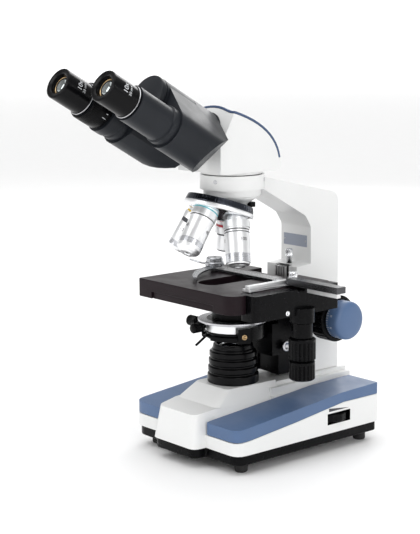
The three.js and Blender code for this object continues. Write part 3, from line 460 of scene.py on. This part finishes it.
def coarse_grip(label, place):
    r = COARSE_R
    outline = [(5.2, 34.2), (14, 34.2), (18, 36), (20.4, 37.6), (r, 39.2), (r, 39.4, True),
               (r, 54.6, True), (r, 54.8), (20.6, 55.8), (18.4, 56.2), (18.2, 55), (14, 55),
               (14, 50.2), (5.2, 50.2)]
    lathe(f"coarse_grip_{label}", outline, place, "coarse", [PLASTIC],
          [f"coarse_knob_{label}"], ribs=(30, 1.1), bevel=0.2)


def fine_cap(label, place):
    outline = [(0, 50.6), (13.4, 50.6), (13.4, 56.5), (17.2, 56.5), (FINE_R, 56.9),
               (FINE_R, 67.4), (17.3, 68.8), (16.4, 70.1), (14.8, 71.1), (12, 71.8), (7, 72.3),
               (0, 72.5)]
    lathe(f"fine_cap_{label}", outline, place, "fine", [BLUE],
          [f"fine_knob_{label}"], steps=128, bevel=0)


def fine_scale(label, place):
    """Fifty divisions round the cap, a longer one at every fifth, and a number at each tenth."""
    ticks = []
    for i in range(50):
        top = 60.2 if i % 5 == 0 else 59.0
        ticks.append((7.2 * i, 0.35, 57.0, top))
    marks(f"fine_scale_{label}", ticks, FINE_R + TICK_LIFT, place, "fine", MARK)
    for i in range(10):
        numeral(f"fine_number_{label}_{i}", str(10 * i), 2.6, FINE_R + SCALE_LIFT, 36 * i, 62.4,
                place, "fine", MARK, spin=90)


def focus_knobs():
    for label, side in (("right", 1), ("left", -1)):
        coarse_grip(label, across(side))
        fine_cap(label, across(side))
        fine_scale(label, across(side))
    dress("tension_ring", PLASTIC, 0.3)
    dress("coarse_shaft", STEEL, 0.2)
    dress("fine_shaft", STEEL, 0.2)


# ---- stage ----------------------------------------------------------------------------------
def dress_stage():
    holder_end = (SATIN, (36, -40, 158), (61.4, 30, 160.9))
    ruler_face = (RULER, (86, 9, 156), (123, 15, 160.2))
    dress("focus_carriage", BLACK, 0.6)
    dress("focus_rack", STEEL, 0.2)
    dress("stage_lower_plate", STAGE, 0.6)
    dress("stage_upper_plate", STAGE, 0.7)
    dress("stage_side_rail", BLACK, 0.5)
    dress("slide_holder", NICKEL, 0.3, zones=(holder_end, ruler_face))
    dress("slide_stop_arm", SATIN, 0.25)
    dress("slide_clip", CLIP_METAL, 0.3)


def ribbed_knob(name, r, z0, z1, body, hides):
    outline = [(4.6, z0), (r - 1.4, z0), (r, z0 + 1.2), (r, z0 + 1.4, True), (r, z1 - 3.0, True),
               (r, z1 - 2.8), (r, z1 - 0.8), (r - 1.0, z1), (4.6, z1)]
    lathe(name, outline, at(XY_X, XY_Y, 0), body, [PLASTIC], [hides],
          ribs=(20, 0.9), bevel=0.2)


def stage_drive():
    outline = [(0, 76.6), (3.6, 76.6), (4, 77), (4, 113.9), (8.8, 113.9), (9.3, 114.4),
               (9.3, 127.2), (8.8, 127.7), (4, 127.7), (4, 134.6), (0, 134.6)]
    lathe("stage_drive_shaft", outline, at(XY_X, XY_Y, 0), "stage_y", [BLACK],
          ["xy_shaft"], bevel=0.2)
    ribbed_knob("y_drive_knob", 12.1, 93.8, 113.5, "y_drive", "y_knob")
    ribbed_knob("x_drive_knob", 11.5, 76.0, 93.2, "x_drive", "x_knob")


def knurled_screw(name, radius, neck, low, collar, top, place, body, hides):
    outline = [(0, low), (neck, low), (neck, collar), (radius - 0.5, collar),
               (radius, collar + 0.5), (radius, collar + 0.6, True), (radius, top - 1.1, True),
               (radius, top - 1.0), (radius - 0.8, top), (0, top + 0.05)]
    lathe(name, outline, at(*place), body, [CHROME], [hides], ribs=(24, 0.35), bevel=0)


def stage_screws():
    knurled_screw("holder_thumb_screw", 4, 2, 158.9, 164.1, 170, HOLDER_SCREW, "holder_thumb",
                  "holder_screw")
    knurled_screw("stage_stop_pin", 3.6, 2.3, 150, 171, 178, STAGE_STOP, "stage_stop",
                  "stage_stop_screw")


def stage_guide():
    """Five bright bars of the dovetail on a dark ground, behind the stage."""
    for i in range(5):
        x = -6.4 + 3.2 * i
        block(f"guide_bar_{i + 1}", (x - 0.7, 58.6, 152.4), (x + 0.7, 60.9, 163.2), "focus",
              RULER, bevel=0.2)
    block("guide_shadow", (-8.8, 61, 152.4), (8.8, 63.4, 163.4), "focus", BLACK, bevel=0.3)


def cap_screw(name, place, r, body, metal):
    outline = [(0, 0.4), (r * 0.5, 0.4), (r * 0.52, 0.8), (r - 0.4, 0.9), (r, 0.5), (r, 0.05),
               (0, 0.05)]
    lathe(f"cap_screw_{name}", outline, place @ rotated(QUARTER, "Y"), body, [metal],
          steps=36, bevel=0)


def cap_screws():
    cap_screw("rail", at(77, -4.6, 138.5), 2.3, "stage_y", CHROME)
    ear = rotated(math.radians(-22), "Z") @ at(31.4, 0, 110.4)
    cap_screw("condenser_ear", ear, 2.5, "condenser", BRASS)


def brightness_wedge():
    """The printed wedge over the brightness wheel."""
    bm = bmesh.new()
    x = BASE_SIDE + PRINT_LIFT
    corners = ((x, 52, 38.6), (x, 78, 38.6), (x, 52, 41.8))
    bm.faces.new([bm.verts.new(corner) for corner in corners])
    finish_piece(to_object("brightness_wedge", bm, Matrix(), [INK]), "stand", (), 0)


# ---- condenser ------------------------------------------------------------------------------
def condenser_barrel():
    outline = [(19.4, 104.9), (23.6, 104.9), (25, 106), (25, 108.4), (24.4, 108.7),
               (24.4, 109.2), (25, 109.5), (25, 111.7), (19.4, 111.7)]
    lathe("condenser_barrel", outline, Matrix(), "condenser", [BARREL],
          ["condenser_body"])


def condenser_top():
    """A satin drum, a steel disc on it and a black collar above."""
    outline = [(11.3, 112.0), (24.9, 112.0), (24.9, 119.9), (31.6, 120.3), (32, 120.7),
               (32, 122.1), (31.7, 122.5), (24, 122.7), (19, 122.8), (19, 137.2), (18.6, 137.6),
               (11.3, 137.6)]
    lathe("condenser_top", outline, Matrix(), "condenser", [SATIN, BLACK, STEEL],
          ["condenser_collar"], bands=((1, 122.75, 140), (2, 119.95, 122.74)))


def condenser_lens():
    mount = [(0, 124), (10.9, 124), (10.9, 146), (10.4, 147), (9.4, 148), (8.2, 147.6), (8, 147),
             (0, 147)]
    lathe("condenser_lens_mount", mount, Matrix(), "condenser", [BLACK],
          ["condenser_lens"])
    glass = [(8, 146.9), (7, 147.3), (4, 147.8), (0, 147.95)]
    lathe("condenser_front_lens", glass, Matrix(), "condenser", [COATING], bevel=0)


def centring_grip(label, place, r, shaft, neck=1.7, grip=12):
    end = shaft + grip
    outline = [(0, 0), (neck, 0), (neck, shaft), (r - 0.6, shaft), (r, shaft + 0.6),
               (r, shaft + 0.7, True), (r, end - 1, True), (r, end - 0.8), (r - 0.8, end),
               (0, end)]
    lathe(f"centring_grip_{label}", outline, place, f"centring_{label}", [PLASTIC],
          [f"centring_screw_{label}"], ribs=(22, 0.4), bevel=0)


def condenser_drive():
    """A ribbed knob on the left, and a steel button at the other end of its shaft."""
    outline = [(0, -25.9), (2.6, -25.9), (2.8, -26.3), (4.6, -26.4), (4.9, -26), (4.9, -24.2),
               (2.5, -24), (2.5, 25.6), (8.2, 25.6), (9, 26.4), (9, 26.6, True),
               (9, 36.6, True), (9, 36.8), (8.2, 38), (0, 38)]
    place = at(0, CONDENSER_Y, CONDENSER_Z) @ rotated(-QUARTER, "Y")
    lathe("condenser_drive_knob", outline, place, "condenser_drive", [PLASTIC, STEEL],
          ["condenser_knob"], bands=((1, -27, -24.1),), ribs=(24, 0.6), bevel=0)


def condenser():
    dress("condenser_bracket", BLACK, 0.5)
    dress("iris_lever", BLACK, 0.2)
    condenser_barrel()
    condenser_top()
    condenser_lens()
    centring_grip("left", at(-14, -13, 114.8) @ rotated(-QUARTER, "Y"), 5.0, 20)
    centring_grip("front", at(-16.5, -15.6, 114.2) @ rotated(QUARTER, "X"), 4.4, 6.8)
    condenser_drive()


# ---- nosepiece ------------------------------------------------------------------------------
TURRET = at(*APEX) @ rotated(-TURRET_TILT, "X")
DOWN = rotated(math.pi, "X")
BOWL_GAP = 0.5


def mount():
    """A white bowl under the arm's ring, cut off BOWL_GAP above the turret, and a black stop."""
    outline = [(0, 214), (13, 214), (13.6, 224), (15.5, 228), (18.4, 230), (21, 231.4),
               (23.4, 233.2), (24.5, RING_BOTTOM), (0, RING_BOTTOM)]
    bowl = lathe("nosepiece_bowl", outline, Matrix(), "stand", [WHITE],
                 ["nosepiece_mount"], bevel=0)
    bm = bmesh.new()
    bm.from_mesh(bowl.data)
    parts = bm.verts[:] + bm.edges[:] + bm.faces[:]
    cut = bmesh.ops.bisect_plane(bm, geom=parts, clear_inner=True,
                                 plane_co=TURRET @ Vector((0, 0, BOWL_GAP - TURRET_TOP)) * MM,
                                 plane_no=TURRET.to_3x3() @ Vector((0, 0, 1)))
    rim = [part for part in cut["geom_cut"] if isinstance(part, bmesh.types.BMEdge)]
    bmesh.ops.contextual_create(bm, geom=rim)
    bm.to_mesh(bowl.data)
    bm.free()
    block("detent_block", (11.1, 6, 224.4), (17.9, 12, 229), "stand", BLACK, bevel=0.5)


def nosepiece():
    dome = [(0, 50.6), (31.2, 50.6), (31.7, 51.2), (32, 52.8), (31.8, 54.2), (31, 55),
            (27.5, 56.4), (20, 58.6), (12, 61), (9.4, 62.4), (8.6, 63), (5, 63.4), (0, 63.4)]
    lathe("turret_dome", dome, TURRET @ DOWN, "nosepiece", [CHROME, SATIN],
          ["nosepiece_turret"], bands=((1, 50.5, 55.1),), steps=144, bevel=0.3)
    grip = [(5, TURRET_TOP), (29.4, TURRET_TOP), (29.9, 45.5), (30.1, 46.2, True),
            (31.0, 49.6, True), (31.2, 50.0), (31.0, 50.4), (5, 50.4)]
    lathe("turret_grip", grip, TURRET @ DOWN, "nosepiece", [DARK],
          ["nosepiece_grip_ring"], ribs=(60, 0.15), bevel=0)


# Material numbers of an objective's bands. What lies between the bands is satin.
DARK_LINE, FROSTED, FRONT_BAND, COLOUR_RING = 1, 2, 3, 4

# Outlines are (radius, distance below the shoulder), and bands (number, from, to) likewise.
OBJECTIVES = (
    {"name": "100x", "number": "100", "number_r": 11.26, "number_at": 22, "ring": RING_WHITE,
     "outline": [(8.3, 0), (8.3, 3.6), (11.5, 3.8), (11.9, 4.3), (11.9, 10.4), (11.2, 10.8),
                 (11.2, 12.2), (10.8, 12.4), (10.8, 13), (11.2, 13.2), (11.2, 14.6), (10.8, 15),
                 (10.8, 15.2), (11.15, 15.4), (11.15, 34), (10.9, 34.2), (10.9, 41.8),
                 (10.4, 42.2), (10, 43.4), (7, 44.2), (6.4, 45), (3.4, 45), (3.2, 44.4),
                 (0, 44.2)],
     "bands": [(FROSTED, 4.4, 10.3), (DARK_LINE, 12.3, 13.1), (DARK_LINE, 14.7, 15.3),
               (FRONT_BAND, 34.2, 42)]},
    {"name": "40x", "number": "40", "number_r": 11.04, "number_at": 22, "ring": CYAN,
     "outline": [(9.8, 0), (11.5, 0.8), (11.7, 2.3), (11.7, 3.5), (11.9, 3.6), (11.9, 9.3),
                 (11.5, 9.5), (11.5, 10.1), (11.1, 10.3), (11.1, 10.9), (11.5, 11.1), (11.4, 12),
                 (11, 13), (10.8, 33), (11, 33.2), (11, 38), (10.7, 41), (9.2, 43.2), (7, 44.2),
                 (6.2, 45), (3.2, 45), (3.0, 44.4), (0, 44.2)],
     "bands": [(COLOUR_RING, 2.35, 3.45), (FROSTED, 3.55, 9.4), (DARK_LINE, 10.2, 11),
               (FRONT_BAND, 33.1, 38.4)]},
    {"name": "10x", "number": "10", "number_r": 10.12, "number_at": 22, "ring": YELLOW,
     "outline": [(8.4, 0), (8.4, 2.8), (9.2, 3.2), (9.6, 4.8), (10.4, 5.2), (10.6, 5.6),
                 (10.6, 11), (10, 11.4), (9.9, 15), (10, 15.2), (10, 33), (9.9, 33.4),
                 (9.9, 38.2), (8.6, 40.4), (6, 41.5), (4.4, 41.5), (4.2, 40.8), (0, 40.6)],
     "bands": [(COLOUR_RING, 3.3, 4.9), (DARK_LINE, 11.5, 15), (FRONT_BAND, 33.4, 38.2)]},
    {"name": "4x", "number": "4", "number_r": 9.32, "number_at": 20, "ring": RED,
     "outline": [(8.4, 0), (8.4, 5), (10.3, 5.4), (10.5, 7.4), (11.3, 7.8), (11.4, 8.2),
                 (11.4, 13.4), (9.4, 14), (9.2, 15.4), (9.2, 28.6), (8.2, 30), (6.6, 30.2),
                 (6.4, 29.6), (0, 29.4)],
     "bands": [(COLOUR_RING, 5.6, 7.4), (DARK_LINE, 14, 15.3)]},
)


def objective(i, look):
    """One objective, with Z running from the apex down its axis."""
    round_by = FIRST_OBJECTIVE + i * QUARTER
    place = TURRET @ rotated(-round_by, "Z") @ rotated(TURRET_TILT, "X") @ DOWN
    name = look["name"]
    outline = [(0, SHOULDER)] + [(r, SHOULDER + s) for r, s in look["outline"]]
    bands = [(m, SHOULDER + low, SHOULDER + high) for m, low, high in look["bands"]]
    lathe(f"lens_barrel_{name}", outline, place, "nosepiece",
          [SATIN, INK, FROST, BAND, look["ring"]],
          [f"objective_{name}"], bands=bands, bevel=0.12)
    glass_r, tip = outline[-2][0], outline[-1][1]
    glass = [(glass_r, tip - 0.1), (glass_r * 0.6, tip + 0.12), (0, tip + 0.2)]
    lathe(f"front_glass_{name}", glass, place, "nosepiece", [COATING], steps=48, bevel=0)
    for k in range(3):
        numeral(f"magnification_{name}_{k}", look["number"], 4.4, look["number_r"],
                120 * k - 60, SHOULDER + look["number_at"], place, "nosepiece", INK, spin=180)


def objectives():
    for i, look in enumerate(OBJECTIVES):
        objective(i, look)


# ---- head and tubes -------------------------------------------------------------------------
TUBES = at(*HINGE) @ rotated(QUARTER - TUBE_SLOPE, "X")


def dress_head():
    dress("head_housing", WHITE, 0.9)
    dress("head_cover", EDGE_BLUE, 0.4)
    dress("head_prism", GLASS, 0.2)
    dress("prism_housing_right", HOUSING, 0.7)
    dress("prism_housing_left", HOUSING, 0.7)


def head_collar():
    outline = [(16, 248), (25, 248), (25.3, 252), (24.6, 254.3), (27, 254.6), (27, 256.8),
               (16, 256.8)]
    lathe("head_collar", outline, Matrix(), "head", [BLACK, WHITE],
          ["head_flange"], bands=((1, 255, 257),))


def hinge_barrel():
    outline = [(10.6, 0.3), (20, 0.3), (20.2, 0.6), (20.2, 2.0), (19.8, 2.2), (13.1, 2.3),
               (13.1, 66.7), (18.9, 66.7), (19.2, 67.1), (19.2, 71.4), (18.9, 72.1), (18, 72.5),
               (0, 72.5), (0, 69.5), (10.6, 69.5)]
    lathe("hinge_barrel", outline, TUBES, "head", [HOUSING], ["tube_hinge"],
          steps=128)


def eyepiece(label, place):
    body = f"ocular_{label}"
    r = EYEPIECE_R
    barrel = [(8, 80), (11.4, 80), (11.4, 107.5), (14.4, 107.5), (14.9, 108), (14.9, 108.8),
              (14.5, 109.2), (r, 109.9), (r, 136.0), (13.4, 136.7), (12.6, 137), (10.4, 136.6),
              (9.0, 135.8), (8.5, 134.2), (8.4, 131.4), (8, 131.2), (8, 130)]
    lathe(f"eyepiece_barrel_{label}", barrel, place, body, [BARREL, STEEL],
          [f"eyepiece_{label}"], bands=((1, 108.85, 109.25),), steps=128)
    lens = [(7.9, 131.3), (7.2, 132.4), (5.6, 133.4), (3.4, 134.1), (0, 134.4)]
    lathe(f"eye_lens_{label}", lens, place, body, [COATING], steps=64, bevel=0)
    lens_ring = [(8.35, 131.4), (8.3, 132.2), (7.9, 132.3), (7.7, 131.6)]
    lathe(f"eye_lens_ring_{label}", lens_ring, place, body, [BRASS], bevel=0)
    for kind, text, size, height in (("power", "10x", 6.4, 123.5), ("field", "20 mm", 3.6, 118.4)):
        numeral(f"eyepiece_{kind}_{label}", text, size, r + PRINT_LIFT, 24, height, place, body,
                MARK)


def dioptre(place):
    r = DIOPTRE_R
    outline = [(15.1, 86.2), (16.4, 86.2), (r, 86.6), (r, 97), (r, 97.1, True),
               (r, 105.6, True), (r, 105.7), (16.3, 106.6), (15.1, 106.6)]
    lathe("dioptre_sleeve", outline, place, "dioptre", [PLASTIC],
          ["dioptre_ring"], ribs=(60, 0.3), bevel=0)
    ticks = []
    for angle in range(-30, 46, 15):
        ticks.append((angle, 0.5, 89, 92.5 if angle % 30 == 0 else 91))
    marks("dioptre_scale", ticks, r + SCALE_LIFT, place, "dioptre", MARK)


def eyepieces():
    for label, side in (("right", 1), ("left", -1)):
        eyepiece(label, TUBES @ at(side * TUBE_X, TUBE_Y, 0))
    dioptre(TUBES @ at(-TUBE_X, TUBE_Y, 0))


# ---- studio ---------------------------------------------------------------------------------
ROOM_LIGHT = 0.46
BACKDROP_R = 8                         # metres
BACKDROP_HEIGHT = 1.35                 # metres
BACKDROP_GLOW = 0.5
SKY_LIGHT = 1.7
AIM = Vector((0, 0, 0.16))             # metres; the lamps point here, near the instrument's middle


def paper(name):
    return painted(name, (0.90, 0.90, 0.90), 0.75, depth=0.02, shade=0.005)


def floor():
    bpy.ops.mesh.primitive_plane_add(size=2 * BACKDROP_R + 0.2)
    plane = bpy.context.object
    plane.name = "studio_floor"
    plane.data.materials.append(paper("floor_paper"))


def backdrop():
    """A low pale wall all the way round, which hides the floor's far edge."""
    bpy.ops.mesh.primitive_cylinder_add(vertices=160, radius=BACKDROP_R, depth=BACKDROP_HEIGHT,
                                        end_fill_type="NOTHING",
                                        location=(0, 0, BACKDROP_HEIGHT / 2))
    wall = bpy.context.object
    wall.name = "studio_backdrop"
    wall.data.shade_smooth()
    lit_paper = paper("backdrop_paper")
    shader = lit_paper.node_tree.nodes["Principled BSDF"]
    shader.inputs["Emission Color"].default_value = (1, 1, 1, 1)
    shader.inputs["Emission Strength"].default_value = BACKDROP_GLOW
    wall.data.materials.append(lit_paper)


def room():
    world = bpy.data.worlds.new("studio")
    world.use_nodes = True
    background = world.node_tree.nodes["Background"]
    background.inputs["Color"].default_value = (1, 1, 1, 1)
    background.inputs["Strength"].default_value = ROOM_LIGHT
    bpy.context.scene.world = world
    bpy.context.scene.view_settings.view_transform = "Standard"


def soft_box(name, place, size, power):
    """A square lamp in metres, turned to the instrument."""
    light = bpy.data.lights.new(name, "AREA")
    light.size = size
    light.energy = power
    lamp = bpy.data.objects.new(name, light)
    lamp.location = place
    lamp.rotation_euler = (AIM - Vector(place)).to_track_quat("-Z", "Y").to_euler()
    bpy.context.scene.collection.objects.link(lamp)


def lamps():
    soft_box("key", (-0.5, -1.6, 1.3), 0.9, 10)
    soft_box("fill", (1.6, -0.4, 0.8), 0.8, 8)
    soft_box("rear", (-0.9, 1.4, 1.0), 0.9, 8)
    sky = bpy.data.lights.new("sky", "SUN")
    sky.energy = SKY_LIGHT
    sky.angle = math.radians(70)
    bpy.context.scene.collection.objects.link(bpy.data.objects.new("sky", sky))


CAMERA_PLACE = (954.2, -836.0, 392.8)  # millimetres from the optical axis
CAMERA_AZIMUTH = math.radians(49.7)
CAMERA_ELEVATION = math.radians(10)
CAMERA_ROLL = math.radians(-0.45)
CAMERA_LENS = 96.07


def camera():
    """Looks from the front right, a little above the stage."""
    level = math.cos(CAMERA_ELEVATION)
    back = Vector((math.sin(CAMERA_AZIMUTH) * level, -math.cos(CAMERA_AZIMUTH) * level,
                   math.sin(CAMERA_ELEVATION)))
    data = bpy.data.cameras.new("camera")
    data.lens = CAMERA_LENS
    data.sensor_width = 36
    data.clip_end = 20
    cam = bpy.data.objects.new("camera", data)
    facing = (-back).to_track_quat("-Z", "Y").to_matrix().to_4x4()
    cam.matrix_world = mm(at(*CAMERA_PLACE)) @ facing @ rotated(CAMERA_ROLL, "Z")
    bpy.context.scene.collection.objects.link(cam)
    bpy.context.scene.camera = cam


dress_stand()
feet()
illuminator()
label_plate()
head_set_screws()
focus_knobs()
dress_stage()
stage_drive()
stage_screws()
stage_guide()
cap_screws()
brightness_wedge()
condenser()
mount()
nosepiece()
objectives()
dress_head()
head_collar()
hinge_barrel()
eyepieces()
floor()
backdrop()
room()
lamps()
camera()

bpy.context.view_layer.update()
